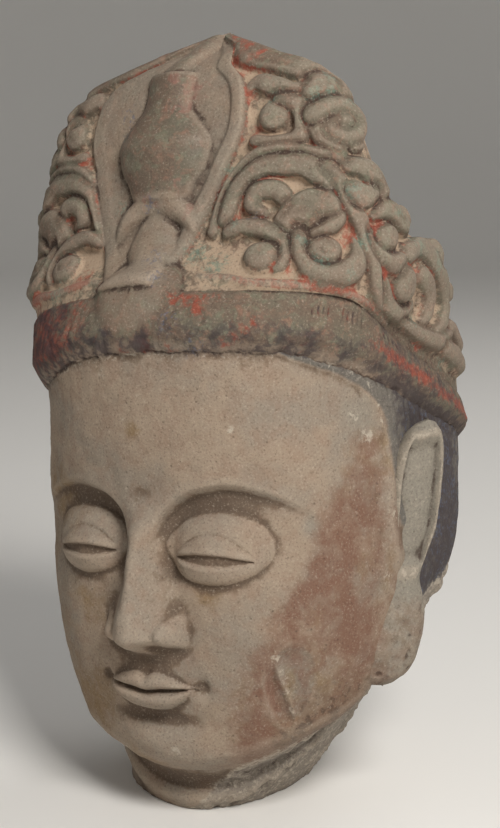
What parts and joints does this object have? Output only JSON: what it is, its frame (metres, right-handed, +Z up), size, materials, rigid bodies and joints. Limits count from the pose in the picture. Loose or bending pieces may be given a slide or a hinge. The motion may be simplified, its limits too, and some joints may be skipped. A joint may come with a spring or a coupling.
{
  "type": "bodhisattva head sculpture",
  "caption": "Carved stone head of a crowned bodhisattva, broken off at the neck, with a vase and scrolling leaves on the crown; stands on its flat underside.",
  "frame": {"origin": "on the flat seat under the broken neck, near its middle", "axes": "+Z up from the seat to the tip of the crown, -Y the way the face looks, +X its proper left side"},
  "size_m": [0.227, 0.224, 0.385],
  "materials": {
    "weathered_stone": "weathered matt stone with worn remains of red, orange, green and blue-black paint"
  },
  "bodies": {
    "root": {"head": "weathered_stone"}
  },
  "joints": []
}
